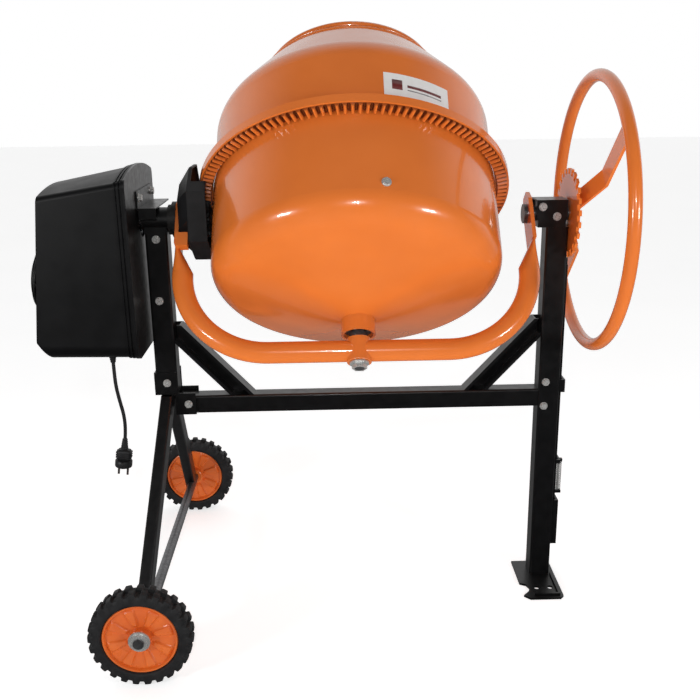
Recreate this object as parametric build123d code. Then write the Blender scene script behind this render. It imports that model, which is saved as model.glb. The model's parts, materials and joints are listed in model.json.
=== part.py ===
from build123d import *
import os
from math import atan, cos, degrees, pi, radians, sin, sqrt, tan

# Concrete mixer on a two-wheeled stand, in millimetres.
# The pieces are drawn about the point where the drum axis crosses the tilt axis:
# +X runs along the tilt axis towards the handwheel, +Y the way the drum leans at rest, +Z up.
# save() then moves them to the part's frame, whose origin is on the floor below the middle.

# --- driving dimensions -------------------------------------------------------------
DRUM_X = 83.28           # drum axis, from the middle of the overall length
AXIS_Z = 840.0           # tilt axis above the floor
LEAN = 40.0              # lean of the drum axis at rest, towards +Y
FLOOR = -AXIS_Z

POST = 46.0              # square posts
WALL = 3.0               # wall of posts, beam and legs
POST_TOP = -26.0
LEFT_POST_X = -410.0
RIGHT_POST_X = 419.0
BEAM_TOP = -381.0
BEAM_H = 40.0
BRACE_W = 38.0           # face width of the folded channels
BRACE_ANGLE = 47.0       # slope of the braces
BRACE_TOP = -262.0       # where a brace's upper edge meets its post

WHEEL_X = -428.0
WHEEL_Z = -740.0
WHEEL_Y = 367.0          # middle plane of a wheel
TYRE_R = 100.0
TYRE_W = 45.0
DISC_R = 72.6
AXLE_R = 10.5

DRUM_R = 292.0           # outside of the lower shell
UPPER_R = 288.8          # outside of the upper shell, which sits inside the lower one
SHELL = 3.0
SHOULDER_R = 65.0        # rounding between the upper wall and the cone
SHOULDER_H = 176.0
CONE_SLOPE = 36.0        # cone of the upper shell, from the drum axis
MOUTH_H = 345.0          # middle of the rolled bead
BEAD_R = 6.5
BOSS_R = 34.0
BOSS_TOP = -238.0
BOSS_END = -270.0
SHAFT_R = 12.5           # journal of the drum shaft
RUN_GAP = 0.05           # radial clearance of a running fit

RING_R = 320.8           # outside of the ring gear
RING_TEETH = 140
PINION_TEETH = 16
PITCH_R = 309.0          # radius on the ring where the teeth have their full size
PITCH_H = PITCH_R * PINION_TEETH / RING_TEETH
MODULE = 2 * PITCH_R / RING_TEETH
PRESSURE = 25.0
BACKLASH = 0.7           # taken off the thickness of each tooth

YOKE_TUBE_R = 21.2
YOKE_ARM_X = 350.0       # centre line of the arms
YOKE_BEND_R = 175.0
YOKE_DEPTH = 304.0       # tube centre below the tilt axis, along the drum axis
ARM_PLATE_X = 362.0      # middle of the flattened ends
ARM_PLATE_T = 8.0

RIM_X = 494.0            # plane of the handwheel rim
RIM_R = 275.0
RIM_TUBE_R = 12.75
BAR_ANGLE = 42.0         # slope of the handwheel bar, near end up
LOCK_DISC_R = 92.0
LOCK_DISC_X = 446.0
LOCK_STEP = 15.0         # degrees between notches
HUB_FLANGE_R = 42.0
SPRING_LOW = -632.0       # ends of the lock spring with the pedal down
SPRING_TOP = -562.0

PLATE_X = -442.0         # middle of the motor box's back plate
BIG_PULLEY_R = 96.0
SMALL_PULLEY_R = 8.0
BELT_X = -462.0
MOTOR_Z = -118.0
COVER_OPEN = PLATE_X - 2  # open side of the motor cover
COVER_FAR = -660.0       # where its taper would end if the end face did not cut it
END_X = -612.0           # end face of the cover at END_TOP; it leans outwards downwards
END_TOP = 78.0
END_LEAN = 5.96
COVER_WALL = 3.0
PINION_SHAFT_R = 10.0

BLADE_TURNS = (-80.5, 99.5)   # where the blades stand, about the drum axis
BLADE_BOLT_H = -109.0

CORD_R = 3.75
CORD_ROUTE = [(-510, -66, -286), (-510, -66, -306), (-509, -67, -338), (-504, -66, -372),
              (-498, -65, -404), (-497, -66, -436), (-500, -66, -458)]

# --- helpers --------------------------------------------------------------------------
os.makedirs("parts", exist_ok=True)


def save(node, *solids):
    """Move the solids to the part's frame and write them as one node."""
    placed = [Pos(DRUM_X, 0, AXIS_Z) * s for s in solids]
    shape = placed[0] if len(placed) == 1 else Compound(placed)
    shape.label = node
    export_step(shape, f"parts/{node}.step")


def block(x0, x1, y0, y1, z0, z1):
    """A box between two corners."""
    return Pos((x0 + x1) / 2, (y0 + y1) / 2, (z0 + z1) / 2) * Box(x1 - x0, y1 - y0, z1 - z0)


def ring(r_out, r_in, z0, z1):
    """A disc or a sleeve about Z."""
    place = Pos(0, 0, (z0 + z1) / 2)
    body = place * Cylinder(r_out, z1 - z0)
    if r_in:
        body -= place * Cylinder(r_in, z1 - z0 + 2)
    return body


def along_x(shape):
    """Turn a shape drawn about Z so that its +Z points along +X."""
    return Rot(0, 90, 0) * shape


def along_y(shape):
    """Turn a shape drawn about Z so that its +Z points along +Y."""
    return Rot(-90, 0, 0) * shape


def lean(shape):
    """Turn a shape drawn about an upright drum axis to its place at rest."""
    return Rot(-LEAN, 0, 0) * shape


def box_tube(width, depth, length, wall=WALL, corner=5.0):
    """A rectangular tube with rounded corners, standing on Z = 0."""
    outer = extrude(RectangleRounded(width, depth, corner), length)
    inner = extrude(RectangleRounded(width - 2 * wall, depth - 2 * wall, corner - wall), length)
    return outer - inner


def turned(points):
    """Revolve a closed outline of (radius, height) points about Z."""
    face = Plane.XZ * make_face(Polyline(*points, close=True))
    return revolve(face, Axis.Z)


def hex_bolt(across, head, shank_r, shank):
    """A hex head from Z = 0 up, its shank below."""
    cap = extrude(RegularPolygon(across / sqrt(3), 6), head)
    return cap + ring(shank_r, 0, -shank, 0)


# --- stand ----------------------------------------------------------------------------
def posts():
    height = POST_TOP - (BEAM_TOP + 9)
    left = Pos(LEFT_POST_X, 0, BEAM_TOP + 9) * box_tube(POST, POST, height)
    foot_top = FLOOR + 5
    right = Pos(RIGHT_POST_X, 0, foot_top) * box_tube(POST, POST, POST_TOP - foot_top)
    save("left_post", left)
    save("right_post", right)


def cross_beam():
    x0 = LEFT_POST_X + POST / 2 + 2
    x1 = RIGHT_POST_X - POST / 2
    tube = along_x(box_tube(BEAM_H, POST - 6, x1 - x0))
    save("cross_beam", Pos(x0, 0, BEAM_TOP - BEAM_H / 2) * tube)


def brace(side, post_face):
    """A folded channel with small lips, open to the front, cut to the post and the beam."""
    depth, lip, sheet = 36.0, 7.0, 2.5
    half = BRACE_W / 2
    outline = [(-half, -depth / 2), (-half + lip, -depth / 2), (-half + lip, -depth / 2 + sheet),
               (-half + sheet, -depth / 2 + sheet), (-half + sheet, depth / 2 - sheet),
               (half - sheet, depth / 2 - sheet), (half - sheet, -depth / 2 + sheet),
               (half - lip, -depth / 2 + sheet), (half - lip, -depth / 2), (half, -depth / 2),
               (half, depth / 2), (-half, depth / 2)]
    bar = extrude(make_face(Polyline(*outline, close=True)), 200, both=True)
    # outline X becomes the face width, outline Y stays Y, the length runs down the slope
    slope = radians(BRACE_ANGLE)
    mid_x = post_face - side * half / sin(slope)
    bar = Rot(0, side * (90 - BRACE_ANGLE), 0) * bar
    bar = Pos(mid_x, 0, BRACE_TOP) * bar
    room = block(min(post_face, post_face - side * 200), max(post_face, post_face - side * 200),
                 -30, 30, BEAM_TOP, BRACE_TOP + 40)
    return bar & room


def braces():
    save("left_brace", brace(-1, LEFT_POST_X + POST / 2))
    save("right_brace", brace(1, RIGHT_POST_X - POST / 2))


def left_corner_bracket():
    """Two cheek plates and an outer web that tie post, legs and beam together."""
    x0 = LEFT_POST_X - POST / 2 - 3
    half = POST / 2
    cheek = block(x0, -386, half, half + 3, -375, -325)
    cheek += block(-394, -350, half, half + 3, -421, -372)
    web = block(x0, x0 + 3, -half, half, -375, -325)
    floor = block(x0 + 3, -387, -half, half, -375, -372)
    save("left_corner_bracket", cheek + mirror(cheek, Plane.XZ) + web + floor)


def legs():
    """Two flat-sided tubes that spread from the bracket to the axle."""
    top_y, top_z = 14.0, -377.0
    foot_y, foot_z = 325.0, WHEEL_Z + 4
    run = sqrt((foot_y - top_y) ** 2 + (foot_z - top_z) ** 2)
    tilt = degrees(atan((foot_y - top_y) / (top_z - foot_z)))
    yaw_x = degrees(atan((WHEEL_X - LEFT_POST_X) / (top_z - foot_z)))
    room = block(-460, -380, 0.5, 338, WHEEL_Z - 16, -375)
    for node, side in (("front_leg", -1), ("rear_leg", 1)):
        tube = Rot(180, 0, 0) * box_tube(25, 40, run + 60, 2.5)
        tube = Pos(0, 0, 30) * tube
        turn = Rot(side * tilt, 0, 0) * Rot(0, -yaw_x, 0)
        leg = Pos(LEFT_POST_X, side * top_y, top_z) * turn * tube
        keep = room if side > 0 else mirror(room, Plane.XZ)
        leg = leg & keep
        leg -= Pos(WHEEL_X, 0, WHEEL_Z) * along_y(ring(AXLE_R, 0, -500, 500))
        save(node, leg)


def axle():
    bar = along_y(ring(AXLE_R, 0, -400, 400))
    caps = []
    for side in (-1, 1):
        washer = along_y(ring(21, AXLE_R, 388.5, 391))
        dome = along_y(ring(16, AXLE_R, 391, 396))
        cap = washer + dome
        caps.append(Pos(WHEEL_X, 0, WHEEL_Z) * (cap if side > 0 else mirror(cap, Plane.XZ)))
    save("axle", Pos(WHEEL_X, 0, WHEEL_Z) * bar)
    save("wheel_caps", *caps)


def foot_plate():
    """Pressed plate under the right post, with a notch, a stiffening rib and two holes."""
    outline = make_face(Polyline((365, -112), (378, -125), (445, -125), (453, -116), (453, 36),
                                 (365, 36), (365, -62), (378, -68), (384, -84), (378, -98), close=True))
    plate = Pos(0, 0, FLOOR) * extrude(outline, 5)
    plate += block(388, 446, -116, -112, FLOOR + 5, FLOOR + 10)
    plate += block(442, 446, -112, -24, FLOOR + 5, FLOOR + 10)
    for x, y in ((400, -82), (430, -82)):
        plate -= Pos(x, y, FLOOR + 2.5) * Cylinder(6.5, 20)
    save("foot_plate", plate)


def bearings():
    """Barrel on the left post, block and folded cap on the right one."""
    journal = 23.0 + RUN_GAP
    barrel = along_x(ring(26, 0, -436, -384))
    saddle = block(-433, -387, -23, 23, POST_TOP, 0)
    left = barrel + saddle - along_x(ring(journal, 0, -500, -300))
    save("left_bearing_housing", left)
    bore = along_x(ring(15 + RUN_GAP, 0, 300, 500))
    save("right_bearing_block", block(378, 436, -22.8, 22.8, POST_TOP, 27.8) - bore)
    cap = block(374, 438, -26, 26, 28, 31)
    cap += block(374, 438, -26, -23, -8, 28) + block(374, 438, 23, 26, -8, 28)
    save("right_bearing_cap", cap)


def frame_bolts():
    """Zinc hex heads with short shanks, all facing the front."""
    places = [(-409, -348, -26), (-366, -397, -26), (411, -364, -23), (409, -419, -23),
              (-410, -15 - 22, -23), (-413, -167, -23), (416, -3, -26), (386, 17, -26)]
    solids = []
    for x, z, face in places:
        bolt = Rot(90, 0, 0) * hex_bolt(13, 5, 3.9, 8)
        washer = Rot(90, 0, 0) * ring(8.5, 4, 0, 1.2)
        solids.append(Pos(x, face, z) * (washer + Pos(0, -1.2, 0) * bolt))
    head = along_x(ring(8.5, 0, 0, 1.2) + extrude(RegularPolygon(13 / sqrt(3), 6), 7))
    for y in (-32, 95):
        solids.append(Pos(-437, y, 50) * head)
    return solids


# --- wheels ---------------------------------------------------------------------------
def tyre():
    """Solid rubber tyre with two staggered rows of tread lugs, about Z, width from -W/2 to W/2."""
    half = TYRE_W / 2
    base = TYRE_R - 6
    outline = [(DISC_R, -half + 7), (DISC_R + 6, -half), (base - 5, -half), (base, -half + 5),
               (base, half - 5), (base - 5, half), (DISC_R + 6, half), (DISC_R, half - 7)]
    body = turned(outline)
    count = 30
    lugs = []
    for row, z in ((0, -half / 2 - 1), (1, half / 2 + 1)):
        for i in range(count):
            lug = Pos(base + 2.5, 0, z) * Box(7, 12.5, half - 1)
            lugs.append(Rot(0, 0, (i + row / 2) * 360 / count) * lug)
    keep = ring(TYRE_R, 0, -half, half)
    return body + [lug & keep for lug in lugs]


def wheel_disc():
    """Plastic disc: rim band, facetted web on both faces and a bored hub, about Z."""
    half = TYRE_W / 2
    band = ring(DISC_R, DISC_R - 5, -half + 7, half - 7)
    hub = ring(20, AXLE_R + RUN_GAP, -half + 1.5, half - 1.5)
    web = ring(DISC_R - 4, AXLE_R + RUN_GAP, -4, 4)
    disc = band + hub + web
    sectors = 8
    for i in range(sectors):
        wedge = make_face(Polyline((19, 0), (69, -13), (69, 13), close=True))
        for z0, z1 in ((4, 8), (-8, -4)):
            disc += Rot(0, 0, i * 360 / sectors) * (Pos(0, 0, z0) * extrude(wedge, z1 - z0))
    return disc


def wheels():
    for node, y in (("front", -WHEEL_Y), ("rear", WHEEL_Y)):
        place = Pos(WHEEL_X, y, WHEEL_Z)
        save(f"{node}_tyre", place * along_y(tyre()))
        save(f"{node}_wheel_disc", place * along_y(wheel_disc()))


# --- yoke and handwheel ---------------------------------------------------------------
def yoke_arm(side):
    """Flattened end and its swell into the round tube, drawn about an upright drum axis."""
    x = side * ARM_PLATE_X
    t = ARM_PLATE_T / 2
    plate = make_face(Polyline((-30, -72), (30, -72), (30, 20), (14, 44), (-14, 44), (-30, 20), close=True))
    plate = extrude(Plane.YZ * plate, t, both=True)
    swell = loft([Plane((x, 0, -71), z_dir=(0, 0, -1)) * Ellipse(t - 0.2, 29.7),
                  Plane((side * YOKE_ARM_X, 0, -128), z_dir=(0, 0, -1)) * Circle(YOKE_TUBE_R)])
    return Pos(x, 0, 0) * plate + swell


def yoke():
    path = FilletPolyline((-YOKE_ARM_X, 0, -128), (-YOKE_ARM_X, 0, -YOKE_DEPTH),
                          (YOKE_ARM_X, 0, -YOKE_DEPTH), (YOKE_ARM_X, 0, -128), radius=YOKE_BEND_R - 0.5)
    start = Plane((-YOKE_ARM_X, 0, -128), z_dir=(0, 0, -1))
    outer = sweep(start * Circle(YOKE_TUBE_R), path=path)
    body = outer + yoke_arm(-1) + yoke_arm(1)
    saddle = ring(24, 0, -YOKE_DEPTH - 24, -YOKE_DEPTH + 24)
    body += saddle
    lug = block(-ARM_PLATE_X, -337, -40, -20, -84, -54)
    body += lug
    body -= ring(16, 0, -400, -200)
    for side, r in ((-1, PINION_SHAFT_R + 4), (1, 15)):
        x = side * ARM_PLATE_X
        body -= along_x(ring(r, 0, x - 10, x + 10))
    return lean(body)


def drum_shaft():
    """Fixed shaft through the yoke: journal in the drum bearings, shoulder, thread and nut."""
    shaft = ring(SHAFT_R, 0, -263, -198) + ring(16, 0, -YOKE_DEPTH - 25, -263) + ring(9.8, 0, -341, -329)
    save("drum_shaft", lean(shaft))
    washer = ring(19, 10, -331.5, -329)
    nut = Pos(0, 0, -341) * extrude(RegularPolygon(15, 6), 9.5) - ring(10, 0, -350, -320)
    save("shaft_nut", lean(washer), lean(nut))


def right_trunnion():
    """Tilt shaft from the yoke arm through the right bearing to the handwheel hub."""
    shaft = along_x(ring(15, 0, ARM_PLATE_X - 12, 460))
    head = along_x(ring(20, 0, ARM_PLATE_X - 12, ARM_PLATE_X - ARM_PLATE_T / 2))
    save("right_trunnion", shaft + head)


def handwheel():
    rim = along_x(Torus(RIM_R, RIM_TUBE_R))
    save("handwheel_rim", Pos(RIM_X, 0, 0) * rim)
    # the bar is drawn in X and the distance along it, then turned to its slope
    hub_x, t, w = 455.0, 3.0, 20.0
    edge = RIM_R - RIM_TUBE_R - 0.2
    half = [(hub_x, 0), (hub_x, 44), (RIM_X - 3, 120), (RIM_X - 1, edge)]
    upper = [(x + t, y) for x, y in half]
    lower = [(x - t, y) for x, y in half]
    one = lower + upper[::-1]
    other = [(x, -y) for x, y in one]
    bar = extrude(make_face(Polyline(*one, close=True)), w, both=True)
    bar += extrude(make_face(Polyline(*other, close=True)), w, both=True)
    bar -= along_x(ring(15, 0, 430, 480))
    bar -= Pos(RIM_X, 0, 0) * rim
    bar = Rot(-BAR_ANGLE, 0, 0) * bar
    save("handwheel_bar", bar)


def lock_disc():
    """Notched disc beside the right post; a notch every LOCK_STEP degrees."""
    x0, x1 = LOCK_DISC_X - 3, LOCK_DISC_X + 3
    disc = along_x(ring(LOCK_DISC_R, 15, x0, x1))
    count = round(360 / LOCK_STEP)
    for i in range(count):
        notch = Pos(LOCK_DISC_X, 0, -LOCK_DISC_R + 2) * Box(20, 12, 20)
        disc -= Rot(i * LOCK_STEP, 0, 0) * notch
    hub = along_x(ring(HUB_FLANGE_R, 15, x1, 452))
    return disc + hub


def hub_bolts():
    """Six bolts in the hub flange, two of them through the bar, heads outwards."""
    head = along_x(ring(7.4, 0, 0, 1.2) + extrude(RegularPolygon(13 / sqrt(3), 6), 6.5))
    solids = []
    for angle in range(0, 360, 60):
        seat = 458 if angle in (0, 180) else 452
        solids.append(Rot(angle - BAR_ANGLE, 0, 0) * (Pos(seat, HUB_FLANGE_R - 10, 0) * head))
    return solids


# --- drum -----------------------------------------------------------------------------
def revolved_wire(*edges):
    """Revolve a closed outline of edges in the (radius, height) plane about Z."""
    return revolve(Plane.XZ * make_face(list(edges)), Axis.Z)


def lower_side(offset):
    """Lower shell from its top edge to the boss: wall, corner arc and shallow cone."""
    r = DRUM_R - offset
    corner, slope, knee = 53.0 - offset, radians(16.6), -123.0
    centre = (DRUM_R - 53.0, knee)
    a1 = radians(-90) + slope
    start = (r, 46.0)
    wall_end = (r, knee)
    mid = (centre[0] + corner * cos(a1 / 2), centre[1] + corner * sin(a1 / 2))
    end = (centre[0] + corner * cos(a1), centre[1] + corner * sin(a1))
    reach = end[0] - BOSS_R
    foot = (BOSS_R, end[1] - reach * tan(slope))
    return [start, wall_end, mid, end, foot]


def shell_face(outer, inner):
    """Close two five-point shell sides with straight ends."""
    edges = []
    for side in (outer, inner):
        edges.append(Line(side[0], side[1]))
        edges.append(ThreePointArc(side[1], side[2], side[3]))
        edges.append(Line(side[3], side[4]))
    edges.append(Line(outer[0], inner[0]))
    edges.append(Line(outer[4], inner[4]))
    return edges


def drum_lower_shell():
    shell = revolved_wire(*shell_face(lower_side(0), lower_side(SHELL)))
    for turn in BLADE_TURNS:
        shell -= Rot(0, 0, turn) * (Pos(0, 0, BLADE_BOLT_H) * along_x(ring(4, 0, 260, 310)))
    return lean(shell)


def upper_side(offset):
    """Upper shell from its skirt to the mouth: wall, shoulder arc and straight cone."""
    r = UPPER_R - offset
    corner = SHOULDER_R - offset
    centre_r = UPPER_R - SHOULDER_R
    slope = radians(CONE_SLOPE)
    mid = (centre_r + corner * cos(slope / 2), SHOULDER_H + corner * sin(slope / 2))
    end = (centre_r + corner * cos(slope), SHOULDER_H + corner * sin(slope))
    top = (end[0] - (MOUTH_H - end[1]) * tan(slope), MOUTH_H)
    return [(r, 20.0), (r, SHOULDER_H), mid, end, top]


def drum_upper_shell():
    outer, inner = upper_side(0), upper_side(SHELL)
    body = revolved_wire(*shell_face(outer, inner))
    mouth_r = outer[4][0] - 1.0
    bead = Pos(0, 0, MOUTH_H) * Torus(mouth_r, BEAD_R)
    groove_drop = 24.0
    groove_r = mouth_r + groove_drop * tan(radians(CONE_SLOPE))
    groove = Pos(0, 0, MOUTH_H - groove_drop) * Torus(groove_r, 3.5)
    return lean(body + bead + groove)


def drum_boss():
    """Flanged boss under the drum that holds the bearings."""
    inside = BOSS_TOP + 42
    sleeve = ring(BOSS_R - 0.2, 26, BOSS_END, inside)
    sleeve -= ring(29, 0, BOSS_END - 1, BOSS_END + 5)
    cap = ring(BOSS_R - 0.2, 0, inside, inside + 5)
    # the flange lies on the inside of the shell's cone
    flange = turned([(BOSS_R - 0.2, -236.2), (80, -222.5), (80, -218.5), (BOSS_R - 0.2, -228)])
    return lean(sleeve + cap + flange)


def drum_bearings():
    """Two ball bearings in the boss, each an outer and an inner ring with shields."""
    solids = []
    for z in (-255.0, -222.0):
        solids.append(lean(ring(26, SHAFT_R + RUN_GAP, z - 7.5, z + 7.5)))
    return solids


def tooth_section(radius):
    """Half-widths and heights of a ring tooth at a distance from the drum axis."""
    k = radius / PITCH_R
    tip, root = PITCH_H - 0.8 * MODULE, 41.0
    thick = pi * MODULE / 2 - BACKLASH
    slope = tan(radians(PRESSURE))
    half_tip = thick / 2 - 0.8 * MODULE * slope
    half_root = thick / 2 + (root - PITCH_H) * slope
    return [(-half_root * k, root * k), (-half_tip * k, tip * k),
            (half_tip * k, tip * k), (half_root * k, root * k)]


def ring_tooth():
    """One tooth on the +X side of the ring, tapering towards the pitch cone's apex."""
    faces = []
    for radius in (297.0, 316.5):
        pts = tooth_section(radius)
        faces.append(make_face(Polyline(*[(radius, y, z) for y, z in pts], close=True)))
    return loft(faces, ruled=True)


def ring_gear():
    """Four joined segments, teeth on the underside inside a plain band."""
    body = turned([(292.3, 56.7), (RING_R, 56.7), (RING_R, 40), (316, 40), (316, 41.4),
                   (296.5, 38.8), (296.5, 46.3), (292.3, 46.3)])
    pitch = 360 / RING_TEETH
    tooth = ring_tooth()
    segments = []
    quarter = RING_TEETH // 4
    for q in range(4):
        start = q * 90.0
        wedge = make_face(Polyline((0, 0), (600, 0), (600, 600), (0, 600), close=True))
        sector = Rot(0, 0, start) * extrude(wedge, 80)
        teeth = [Rot(0, 0, start + (i + 0.5) * pitch) * tooth for i in range(quarter)]
        segments.append((body & sector) + teeth)
    # a gap between teeth of the ring faces a tooth of the pinion at -X
    return [lean(s) for s in segments]


def blades():
    """Two paddles that stand on the wall inside the drum, opposite each other."""
    solids = []
    for turn in BLADE_TURNS:
        plate = make_face(Polyline((270, -135), (205, -120), (170, -40), (175, 60), (215, 130),
                                   (262, 150), (276, 60), (276, -40), close=True))
        paddle = extrude(Plane.XZ * plate, 2, both=True)
        tab = block(270, DRUM_R - SHELL - 1.0, -16, 16, -121, -97)
        upper_tab = block(270, UPPER_R - SHELL - 1.0, -16, 16, 86, 110)
        solids.append(Rot(0, 0, turn) * (paddle + tab + upper_tab))
    return [lean(s) for s in solids]


def blade_bolts():
    solids = []
    for turn in BLADE_TURNS:
        bolt = along_x(hex_bolt(13, 5, 3.9, 3.8)) + along_x(ring(9, 3.9, 0, 1.2))
        solids.append(Rot(0, 0, turn) * (Pos(DRUM_R + 0.1, 0, BLADE_BOLT_H) * bolt))
    return [lean(s) for s in solids]


def label_plate():
    """Blank sticker plate on the upper shell."""
    band = ring(UPPER_R + 0.6, UPPER_R + 0.05, 83, 134)
    face = make_face(Polyline((0, 0), (400 * cos(radians(-79.6)), 400 * sin(radians(-79.6))),
                              (400 * cos(radians(-52.4)), 400 * sin(radians(-52.4))), close=True))
    return lean(band & (Pos(0, 0, 60) * extrude(face, 100)))


# --- pinion drive ---------------------------------------------------------------------
def involute_half(r_base, r_from, r_to, half_at_pitch, r_pitch, n=5):
    """Points (radius, half angle) of one involute flank from r_from to r_to."""
    def inv(r):
        if r <= r_base:
            return 0.0
        a = sqrt((r / r_base) ** 2 - 1)
        return a - atan(a)
    base = half_at_pitch + inv(r_pitch)
    return [(r, base - inv(r)) for r in [r_from + (r_to - r_from) * i / n for i in range(n + 1)]]


def pinion_section(x, scale):
    """The pinion's tooth outline in the plane X = x, scaled towards the apex."""
    r_pitch = PITCH_H
    r_root, r_tip = PITCH_H - 1.05 * MODULE, PITCH_H + 0.8 * MODULE
    half = (pi * MODULE / 2 - BACKLASH) / 2 / r_pitch
    flank = involute_half(r_pitch * cos(radians(PRESSURE)), r_root, r_tip, half, r_pitch)
    points = []
    for i in range(PINION_TEETH):
        # tooth 0 points to +Z
        mid = radians(90) + 2 * pi * i / PINION_TEETH
        for r, a in flank:
            points.append((r * scale * cos(mid - a), r * scale * sin(mid - a)))
        for r, a in flank[::-1]:
            points.append((r * scale * cos(mid + a), r * scale * sin(mid + a)))
    return make_face(Polyline(*[(x, y, z) for y, z in points], close=True))


def pinion():
    """Bevel pinion on the tilt axis, in mesh with the ring's underside at -X."""
    x_out, x_in = -314.5, -298.0
    body = loft([pinion_section(x_out, -x_out / PITCH_R), pinion_section(x_in, -x_in / PITCH_R)], ruled=True)
    hub = along_x(ring(20, 0, -330, x_out))
    body = body + hub - along_x(ring(PINION_SHAFT_R, 0, -340, -290))
    save("pinion", lean(body))


def pinion_shaft():
    shaft = along_x(ring(PINION_SHAFT_R, 0, -480, -298))
    save("pinion_shaft", shaft)
    web_r = BIG_PULLEY_R - 12
    wheel = ring(BIG_PULLEY_R, web_r, -8, 8) + ring(web_r, 22, -3, 3) + ring(22, PINION_SHAFT_R, -12, 12)
    for z in (-4.0, 0.0, 4.0):
        wheel -= Pos(0, 0, z) * Torus(BIG_PULLEY_R + 0.5, 1.6)
    for i in range(5):
        wheel -= Rot(0, 0, 72 * i) * (Pos(53, 0, 0) * Cylinder(17, 20))
    save("big_pulley", Pos(BELT_X, 0, 0) * along_x(wheel))


def pinion_housing():
    """Cast housing: journal in the left post bearing, stepped collar and flange on the yoke arm."""
    inner = ARM_PLATE_X - ARM_PLATE_T / 2
    outer = ARM_PLATE_X + ARM_PLATE_T / 2
    body = along_x(ring(23, 0, -438, -outer)) + along_x(ring(31, 0, -383.5, -outer))
    body += along_x(ring(37, 0, -375, -outer))
    body += along_x(ring(14, 0, -outer, -335))
    body -= along_x(ring(PINION_SHAFT_R + RUN_GAP, 0, -460, -330))
    return body


def pinion_guard():
    """Open eight-sided box of plastic round the pinion, cut out for the ring gear and the drum."""
    outline = [(-85, -32), (-85, 67), (-24, 108), (44, 108), (72, 70), (72, -52), (44, -83), (-10, -83)]
    mid_y, mid_z, half_y, half_z = -6.5, 12.5, 78.5, 95.5

    def section(x, shrink, scale):
        """The outline in the plane X = x, scaled about its middle and drawn in by shrink."""
        k_y, k_z = scale - shrink / half_y, scale - shrink / half_z
        return make_face(Polyline(*[(x, mid_y + (y - mid_y) * k_y, mid_z + (z - mid_z) * k_z)
                                    for y, z in outline], close=True))

    def tub(shrink, x_small, x_big, x_open):
        taper = loft([section(x_small, shrink, 0.64), section(x_big, shrink, 1.0)], ruled=True)
        wall = extrude(section(x_big, shrink, 1.0), amount=x_open - x_big, dir=(1, 0, 0))
        return taper + wall

    arm_low = -46.0
    outer = tub(0, -356, -333, -296) - lean(block(-400, -335, -150, 150, -250, arm_low))
    inner = tub(3, -353, -332, -290) - lean(block(-400, -332, -150, 150, -250, arm_low + 3))
    shell = outer - inner
    # the ring gear passes through: only the outer wall stands beside it
    shell -= lean(block(-326.5, -280, -130, 130, 26, 130))
    shell -= along_x(ring(24, 0, -365, -345))
    # the drum wall is round, so the open edge is cut back to it
    return shell - lean(ring(DRUM_R + 3.5, 0, -130, 130))


# --- motor box ------------------------------------------------------------------------
def box_outline(half_w, z_low, z_high, top_r, low_r, crown, x):
    """Box outline in the plane X = x: flat bottom, rounded corners and a crowned top."""
    edge_z = z_high - crown
    top_y, low_y = half_w - top_r, half_w - low_r
    bulge = 0.29             # how far an arc's middle stays inside a square corner
    edges = []
    for side in (-1, 1):
        y = side * half_w
        edges.append(Line((x, y, z_low + low_r), (x, y, edge_z - top_r)))
        edges.append(ThreePointArc((x, y, edge_z - top_r),
                                   (x, y - side * bulge * top_r, edge_z - bulge * top_r),
                                   (x, side * top_y, edge_z)))
        edges.append(ThreePointArc((x, side * low_y, z_low),
                                   (x, y - side * bulge * low_r, z_low + bulge * low_r),
                                   (x, y, z_low + low_r)))
    edges.append(ThreePointArc((x, -top_y, edge_z), (x, 0, z_high), (x, top_y, edge_z)))
    edges.append(Line((x, -low_y, z_low), (x, low_y, z_low)))
    return make_face(edges)


def cover_section(x, grow):
    """Outline of the tapered cover at X = x, larger all round by grow."""
    t = (COVER_OPEN - x) / (COVER_OPEN - COVER_FAR)
    return box_outline(137 - 11.6 * t + grow, -262 - grow, 112 - 42 * t + grow,
                       12 + grow, 30 + grow, 18 - 7 * t, x)


def motor_back_plate():
    plate = extrude(box_outline(140, -265, 115, 15, 33, 18, PLATE_X + 2), amount=4, dir=(-1, 0, 0))
    hole = along_x(ring(34, 0, -460, -430))
    return plate - hole


def end_place(z):
    """Frame on the cover's leaning end face at height z, its -X pointing out of the face."""
    x = END_X - (END_TOP - z) * tan(radians(END_LEAN))
    return Pos(x, 0, z) * Rot(0, END_LEAN, 0)


def cover_solid(grow):
    """Tapered tub cut by the leaning end face and by a slant under it."""
    tub = loft([cover_section(COVER_OPEN - grow / 3, grow), cover_section(COVER_FAR, grow)])
    tub -= end_place(END_TOP) * block(-200 - grow, -grow, -200, 200, -600, 200)
    slant = end_place(-228) * Rot(0, -40, 0) * block(-200 - grow, -grow, -200, 200, -200, 200)
    return tub - slant


def motor_cover():
    """Tapered tub over the belt drive and motor, with lips at its open side and a vent hole."""
    outer = cover_solid(0)
    outer = fillet(outer.faces().sort_by(Axis.X)[0].edges(), 7)
    for x, thick, grow in ((COVER_OPEN, 4, 3), (COVER_OPEN - 8, 3, 2.5), (COVER_OPEN - 15, 3, 2)):
        outer += extrude(cover_section(x, grow), amount=thick, dir=(-1, 0, 0))
    vent = end_place(MOTOR_Z) * along_x(ring(70, 0, -30, 20))
    cover = outer - cover_solid(-COVER_WALL) - vent
    gland_hole = Pos(CORD_ROUTE[0][0], CORD_ROUTE[0][1], -260) * Cylinder(8, 60)
    button_hole = block(-560, -510, 100, 160, -60, 0)
    return cover - gland_hole - button_hole


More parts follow.
